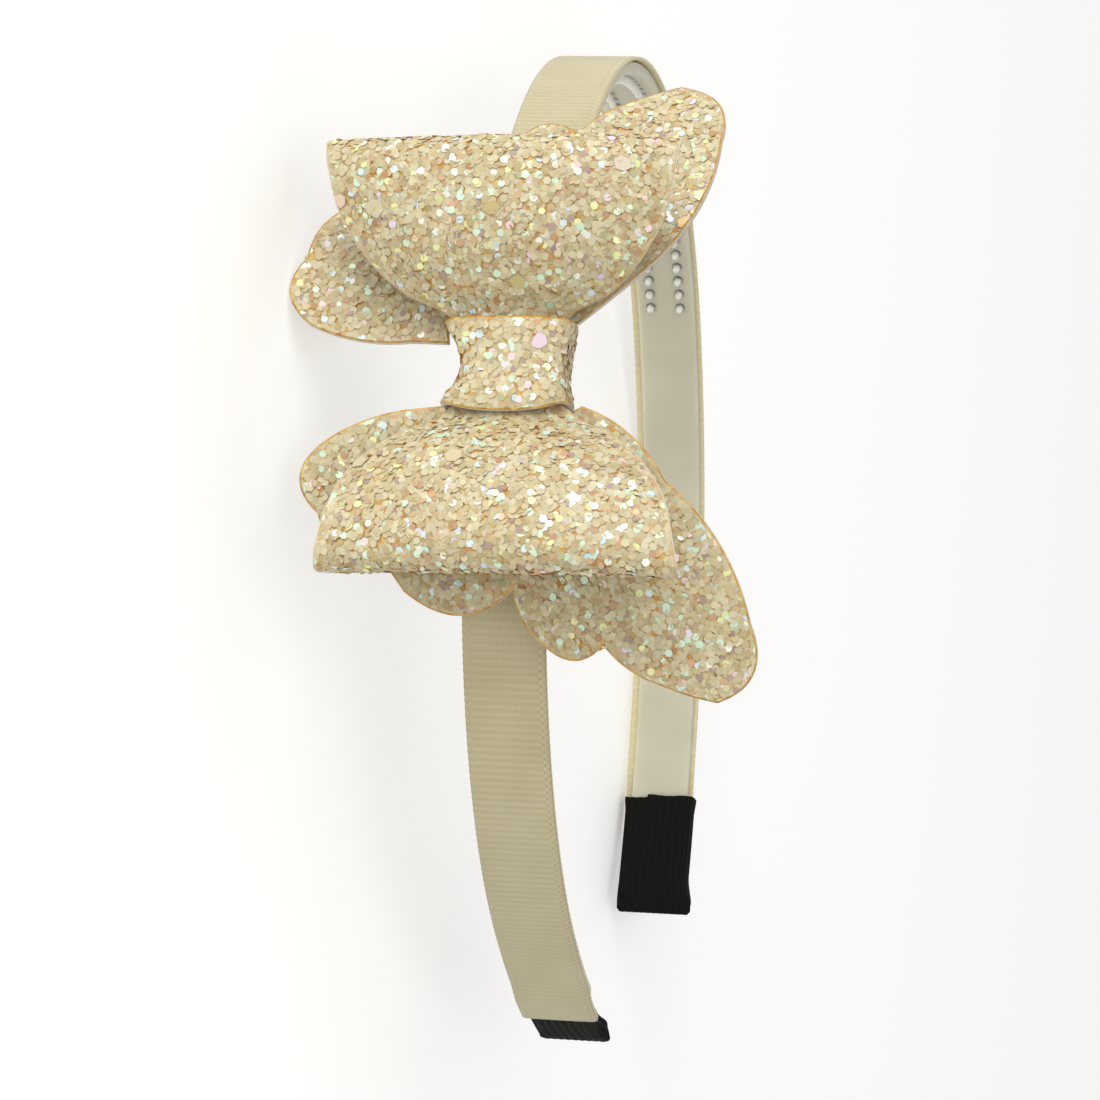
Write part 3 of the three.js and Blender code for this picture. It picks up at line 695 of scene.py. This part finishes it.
# A smooth line through the sections, column by column, for a share from 0 to 1
def readSections(sections, share):
    place = share * (len(sections) - 1)
    row = min(int(place), len(sections) - 2)
    around = [sections[min(len(sections) - 1, max(0, row + k))] for k in (-1, 0, 1, 2)]
    t = place - row
    read = []
    for a, b, c, d in zip(*around):
        before, after, rise = (c - a) / 2, (d - b) / 2, c - b
        read.append(b + t * (before + t * (3 * rise - 2 * before - after + t * (before + after - 2 * rise))))
    return read


def loopMiddle(path, side):
    s = loopSettings
    share = 2 * path if path < 0.5 else 2 - 2 * path
    reach, rise, half, drop = readSections(loopSections, share)
    stack = layer * (1 - smooth(share, s["foldStart"], s["foldEnd"]))
    half -= s["backNarrower"] * smooth(share, 0.52, 0.62) * smooth(half, 10, 18) * (side > 0)
    if path > 0.5:
        half += s["lowerShoulder"] * math.exp(-((reach - knotClear - 0.3) / 1.9) ** 2)
    z = loopBack + bowSettings["sheetThick"] / 2 + stack + rise - drop * side * side
    point = Vector((side * half, reach if path < 0.5 else -reach, z))
    point.x -= s["lean"] * point.y
    return point


def onLoop(u, v):
    s = loopSettings
    path, side, nudge = u % 1.0, 2 * v - 1, 0.002
    middle = loopMiddle(path, side)
    step = loopMiddle((path + nudge) % 1.0, side) - loopMiddle((path - nudge) % 1.0, side)
    out = Vector((0, -step.z, step.y)).normalized()
    share = 2 * path if path < 0.5 else 2 - 2 * path
    free = smooth(abs(middle.y), knotClear + 2, knotClear + 9) * smooth(share, 0.62, 0.5)
    wave = s["ripple"] * free * noise.noise(Vector((middle.x / 9, middle.y / 9, 1.7)))
    return bowToRow @ (middle + out * (bowSettings["sheetThick"] / 2 - bowSettings["skin"] + wave))


def loopsPiece():
    s = loopSettings
    bm = bentGrid(s["columns"], s["rows"], onLoop, (4 * s["reach"], 2 * s["halfWidth"]),
                  edging=0.5 * glitterSettings["rim"])
    piece = finishPiece(bm, "loop_strip", glitterSheet, "bow_loops")
    addThickness(piece, bowSettings["cutThick"], backing=1, rim=2)
    return piece


# Knot: a strip closed round the waist, flared at both edges, whose edges curl in to the loops.
# Its fore side (1) stands almost straight and its hind side (-1) flares.
knotSettings = {
    "halfWaist": {1: 5.9, -1: 4.6}, "flareOut": {1: 0.9, -1: 2.5}, "cornerPower": (5.0, 3.2),
    "curl": 0.45, "lowerDip": 0.5, "lowerCorner": 1.1, "columns": 110, "rows": 26,
}


def onKnot(u, v):
    s, b = knotSettings, bowSettings
    side = 2 * v - 1
    angle = 2 * math.pi * u
    end = -1 if math.sin(angle) > 0 else 1
    flare = abs(side) ** b["knotFlarePower"]
    out = b["sheetThick"] - b["skin"]
    halfWidth = s["halfWaist"][end] + s["flareOut"][end] * flare + out
    fronts = [loopBack + 2 * layer + section[1] for section in loopSections[:2]]
    front = mix(fronts[0], fronts[1] + b["knotFlareFront"], flare) + out
    front -= s["curl"] * smooth(abs(side), 0.75, 1.0)
    back = knotBack + b["sheetThick"] - out
    power = 2 / mix(*s["cornerPower"], flare)
    sideways = signedPower(math.sin(angle), power)
    lower = s["lowerCorner"] * abs(sideways) ** 3 - s["lowerDip"] * (1 - sideways ** 2)
    y = side * b["knotWidth"] / 2 + lower * smooth(-side, 0.2, 1.0)
    z = mix(back, front, (signedPower(math.cos(angle), power) + 1) / 2)
    return bowToRow @ Vector((-halfWidth * sideways, y, z))


def knotPiece():
    s = knotSettings
    bm = bentGrid(s["columns"], s["rows"], onKnot, (44.0, bowSettings["knotWidth"]))
    piece = finishPiece(bm, "knot_strip", glitterSheet, "bow_knot")
    addThickness(piece, bowSettings["cutThick"], backing=1, rim=2)
    return piece


# Glitter: six-sided flakes of film, flat on top, each a closed body that tapers into the coat
flakeSettings = {
    "across": (0.86, 1.06), "perSquare": 5.2, "spacing": 0.36, "depth": 0.2,
    "lift": (0.02, 0.2), "tilt": 9.0, "steepShare": 0.07, "steepTilt": 28.0,
    "inset": 0.22,  # how far inside the sheet's cut edge the flakes are cut off
    "cutReach": 0.9, "calmReach": 1.0, "calm": 0.3,  # near that edge, where they lie flatter too
    "tries": 1.5, "patchLift": 1.2, "patchRound": (0.75, 1.15), "underKnot": 2.2,
}
creamFilm = [
    (0.26, "#CAC09B"), (0.20, "#C4B58B"), (0.15, "#BDAD80"), (0.12, "#BFB490"), (0.10, "#C9C0A0"),
    (0.06, "#B49F71"), (0.05, "#C3A67D"), (0.02, "#B99473"), (0.025, "#B0A97F"), (0.02, "#A58F82"),
    (0.01, "#B4895B"),
]
shiftFilm = [
    (0.32, "#CFE8CC"), (0.22, "#E2E4A4"), (0.16, "#D0E3E6"), (0.08, "#DCD2E0"), (0.10, "#E8CDCC"),
    (0.09, "#ECEADC"), (0.03, "#D9A57E"),
]
shiftShare = 0.115


# Larger smooth flakes of the same film, at places on the bow
wingPatches = [
    {"x": 20.0, "y": 18.5, "across": 1.7, "colour": "#D6B57C"},
    {"x": 21.2, "y": 22.6, "across": 1.6, "colour": "#C3CF9C"},
]
loopPatches = [
    {"x": -19.5, "y": 18.0, "across": 1.9, "colour": "#D6BFA8"},
    {"x": -15.0, "y": 17.0, "across": 2.5, "colour": "#C8BE9C"},
    {"x": -1.0, "y": 16.5, "across": 2.0, "colour": "#BCAA74"},
    {"x": 1.3, "y": 9.0, "across": 2.0, "colour": "#BBB074"},
    {"x": 13.5, "y": 22.0, "across": 2.2, "colour": "#CFC2AA"},
    {"x": -16.0, "y": -12.5, "across": 2.3, "colour": "#C9BC96"},
    {"x": -4.3, "y": -12.5, "across": 2.3, "colour": "#CBBE99"},
]
knotPatches = [{"x": 4.0, "y": 2.2, "across": 2.0, "colour": "#DCC8D4"}]


def pickColours(rng, palette, count):
    weights = np.array([weight for weight, _ in palette])
    colours = np.array([srgb(colour) for _, colour in palette])
    picked = colours[rng.choice(len(palette), size=count, p=weights / weights.sum())]
    picked[:, :3] *= rng.uniform(0.9, 1.06, size=(count, 1))
    return np.clip(picked, 0, 1)


# Random places on a sheet's glitter face, no two nearer than the spacing
def flakePlaces(rng, mesh, keep):
    s = flakeSettings
    mesh.calc_loop_triangles()
    corners = np.array([v.co for v in mesh.vertices])
    normals = np.array([v.normal for v in mesh.vertices])
    triangles = np.array([t.vertices for t in mesh.loop_triangles])
    a, b, c = (corners[triangles[:, k]] for k in range(3))
    areas = np.linalg.norm(np.cross(b - a, c - a), axis=1) / 2
    count = int(s["tries"] * s["perSquare"] * areas.sum() / mm ** 2)
    chosen = rng.choice(len(areas), size=count, p=areas / areas.sum())
    shares = rng.dirichlet((1, 1, 1), size=count)
    places = sum(shares[:, k:k + 1] * corners[triangles[chosen, k]] for k in range(3))
    facing = sum(shares[:, k:k + 1] * normals[triangles[chosen, k]] for k in range(3))
    facing /= np.linalg.norm(facing, axis=1)[:, None]
    tree = KDTree(count)
    for i, place in enumerate(places):
        tree.insert(place, i)
    tree.balance()
    kept = np.zeros(count, bool)
    for i, place in enumerate(places):
        near = tree.find_range(place, s["spacing"] * mm)
        kept[i] = keep(rowToBow @ Vector(place)) and not any(kept[j] for _, j, _ in near)
    return places[kept], facing[kept]


# Points along a sheet's cut edges, with the direction that points into the sheet
def cutEdges(mesh):
    bm = bmesh.new()
    bm.from_mesh(mesh)
    places, inwards = [], []
    for edge in bm.edges:
        if edge.is_boundary:
            face = edge.link_faces[0]
            a, b = (v.co.copy() for v in edge.verts)
            along = (b - a).normalized()
            inward = face.calc_center_median() - a
            inward -= along * inward.dot(along)
            inward.normalize()
            count = max(1, math.ceil((b - a).length / (0.15 * mm)))
            for i in range(count):
                places.append(a.lerp(b, (i + 0.5) / count))
                inwards.append(inward)
    bm.free()
    tree = KDTree(len(places))
    for i, place in enumerate(places):
        tree.insert(place, i)
    tree.balance()
    return tree, inwards


# Pulls the rims that overhang a cut edge back to it, as if cut off there
def cutOff(rims, tree, inwards):
    s = flakeSettings
    for flake in rims:
        if tree.find(Vector(flake.mean(axis=0)))[2] > s["cutReach"] * mm:
            continue
        for corner in flake:
            spot, index, _ = tree.find(corner)
            past = s["inset"] * mm - (Vector(corner) - spot).dot(inwards[index])
            if past > 0:
                corner += np.array(inwards[index] * past)


def flakesPiece(name, sheet, seed, keep, patches=()):
    s = flakeSettings
    rng = np.random.default_rng(seed)
    places, facing = flakePlaces(rng, sheet.data, keep)
    count = len(places)
    sizes = rng.uniform(*s["across"], size=count) / 2 * mm
    lifts = rng.uniform(*s["lift"], size=count) * mm
    radii = np.ones((count, 6))
    tilts = np.radians(np.abs(rng.normal(0, s["tilt"], size=count)))
    steep = rng.random(count) < s["steepShare"]
    tilts[steep] = np.radians(rng.uniform(0.6, 1.2, size=steep.sum()) * s["steepTilt"])
    shifting = rng.random(count) < shiftShare
    shiftColours = pickColours(rng, shiftFilm, count)
    creamColours = pickColours(rng, creamFilm, count)
    colours = np.where(shifting[:, None], shiftColours, creamColours)
    tree, inwards = cutEdges(sheet.data)
    atEdge = np.array([tree.find(place)[2] < s["calmReach"] * mm for place in places])
    tilts[atEdge] *= s["calm"]
    lifts[atEdge] *= s["calm"]
    inBow = np.array([rowToBow @ Vector(place) for place in places])
    for patch in patches:  # the few large smooth flakes that catch the eye, on the outermost wall
        aside = np.hypot(inBow[:, 0] - patch["x"], inBow[:, 1] - patch["y"])
        nearest = np.argmin(aside - 0.4 * inBow[:, 2])
        sizes[nearest] = patch["across"] / 2 * mm
        lifts[nearest] = s["lift"][1] * s["patchLift"] * mm
        radii[nearest] = rng.uniform(*s["patchRound"], size=6)
        tilts[nearest] = 0.0
        shifting[nearest] = True
        colours[nearest] = srgb(patch["colour"])
    aside = np.cross(facing, rng.normal(size=(count, 3)))
    aside /= np.linalg.norm(aside, axis=1)[:, None]
    other = np.cross(facing, aside)
    up = facing * np.cos(tilts)[:, None] + aside * np.sin(tilts)[:, None]
    first = np.cross(up, other)
    first /= np.linalg.norm(first, axis=1)[:, None]
    second = np.cross(up, first)
    angles = rng.uniform(0, math.pi, size=(count, 1)) + np.arange(6) * math.pi / 3
    centres = places + facing * lifts[:, None]
    rims = (centres[:, None] + (sizes[:, None] * radii)[..., None]
            * (np.cos(angles)[..., None] * first[:, None] + np.sin(angles)[..., None] * second[:, None]))
    cutOff(rims, tree, inwards)
    rims[..., 2] = np.maximum(rims[..., 2], 0.02 * mm)  # pressed flat where the bow rests on the floor
    points = np.concatenate([rims, (rims.mean(axis=1) - up * s["depth"] * mm)[:, None]], axis=1)
    flipped = np.einsum("ij,ij->i", np.cross(rims[:, 1] - rims[:, 0], rims[:, 2] - rims[:, 0]), up) < 0
    faces, indices = [], []
    for i in range(count):  # a six-sided top, and six sides that meet at a point in the coat
        ring = [7 * i + k for k in range(6)]
        ring = ring[::-1] if flipped[i] else ring
        faces.append(ring)
        faces += [(ring[(k + 1) % 6], ring[k], 7 * i + 6) for k in range(6)]
        indices += [1 if shifting[i] else 0] + [2] * 6
    mesh = bpy.data.meshes.new(name)
    mesh.from_pydata(points.reshape(-1, 3).tolist(), [], faces)
    mesh.polygons.foreach_set("material_index", indices)
    attribute = mesh.color_attributes.new("flakeColour", "FLOAT_COLOR", "POINT")
    attribute.data.foreach_set("color", np.repeat(colours, 7, axis=0).astype(np.float32).ravel())
    for material in flakeMaterials:
        mesh.materials.append(material)
    piece = bpy.data.objects.new(name, mesh)
    bpy.context.scene.collection.objects.link(piece)
    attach(piece, "root")
    print(name, "has", count, "flakes")
    return piece


# Build
blackKnitMaterial = blackKnit()
glitterSheet = [glitterBed(), sheetBacking("glitterSheetBacking", "#D3CAB6", "#B5A88E"),
                sheetBacking("glitterSheetCutEdge", "#DAD3C2", "#C3B9A2")]
flakeMaterials = [
    filmFlake("creamPolyesterFilm", {"Roughness": 0.5, "IOR": 1.5}),
    filmFlake("colourShiftFilm", {"Roughness": 0.28, "IOR": 1.57, "Metallic": 0.15}),
    flakeRim(),
]
loopSections = [loopSection(row) for row in loopRows]

plasticPiece()
print("plastic arch done")
ribbonPiece()
print("ribbon done")
sleevePiece(-1, "bow_tip_sleeve", "bow_leg_sleeve")
sleevePiece(1, "plain_tip_sleeve", "plain_leg_sleeve")
print("sleeves done")
wings = wingsPiece()
loops = loopsPiece()
knot = knotPiece()
print("bow sheets done")

# The flakes go on a little way under the knot's edges
underKnot = bowSettings["knotWidth"] / 2 - flakeSettings["underKnot"]
wingFlakes = flakesPiece("wing_glitter", wings, 11, lambda p: abs(p.y) > underKnot, wingPatches)
loopFlakes = flakesPiece("loop_glitter", loops, 12, lambda p: abs(p.y) > underKnot, loopPatches)
knotFlakes = flakesPiece("knot_glitter", knot, 13, lambda p: True, knotPatches)
print("glitter done")


# The pale surface under the part: opal acrylic, lit a little from below, so that shadows stay faint
def addFloor():
    bm = bmesh.new()
    bmesh.ops.create_grid(bm, x_segments=1, y_segments=1, size=4.0)
    mesh = bpy.data.meshes.new("floor")
    bm.to_mesh(mesh)
    bm.free()
    floor = bpy.data.objects.new("floor", mesh)
    bpy.context.scene.collection.objects.link(floor)
    material, tree, shader = newMaterial("lightTableAcrylic", {
        "Roughness": 0.9, "Base Color": srgb("#F4F3F1"), "Emission Color": srgb("#FFFFFF"),
        "Emission Strength": 0.27})
    mesh.materials.append(material)


# Where each light stands, seen in the picture: right, up and towards the camera from the part
lightSettings = [
    {"name": "topSoftbox", "at": (-0.15, 0.75, 0.55), "size": 0.7, "watts": 7.4},
    {"name": "frontFill", "at": (0.35, 0.1, 0.9), "size": 0.8, "watts": 2.1},
]


def addLights():
    view = camera.matrix_world.to_3x3()
    target = archToRow @ Vector((-40, 0, -60))
    for s in lightSettings:
        data = bpy.data.lights.new(s["name"], "AREA")
        data.shape, data.size, data.energy = "DISK", s["size"], s["watts"]
        light = bpy.data.objects.new(s["name"], data)
        light.location = target + view @ Vector(s["at"])
        light.rotation_mode = "QUATERNION"
        light.rotation_quaternion = (target - light.location).to_track_quat("-Z", "Y")
        bpy.context.scene.collection.objects.link(light)
    world = bpy.data.worlds.new("whiteRoom")
    world.use_nodes = True
    world.node_tree.nodes["Background"].inputs["Color"].default_value = srgb("#FFFFFF")
    world.node_tree.nodes["Background"].inputs["Strength"].default_value = 0.62
    bpy.context.scene.world = world


addFloor()
addLights()
bpy.context.scene.view_settings.view_transform = "Standard"
print("stage done")
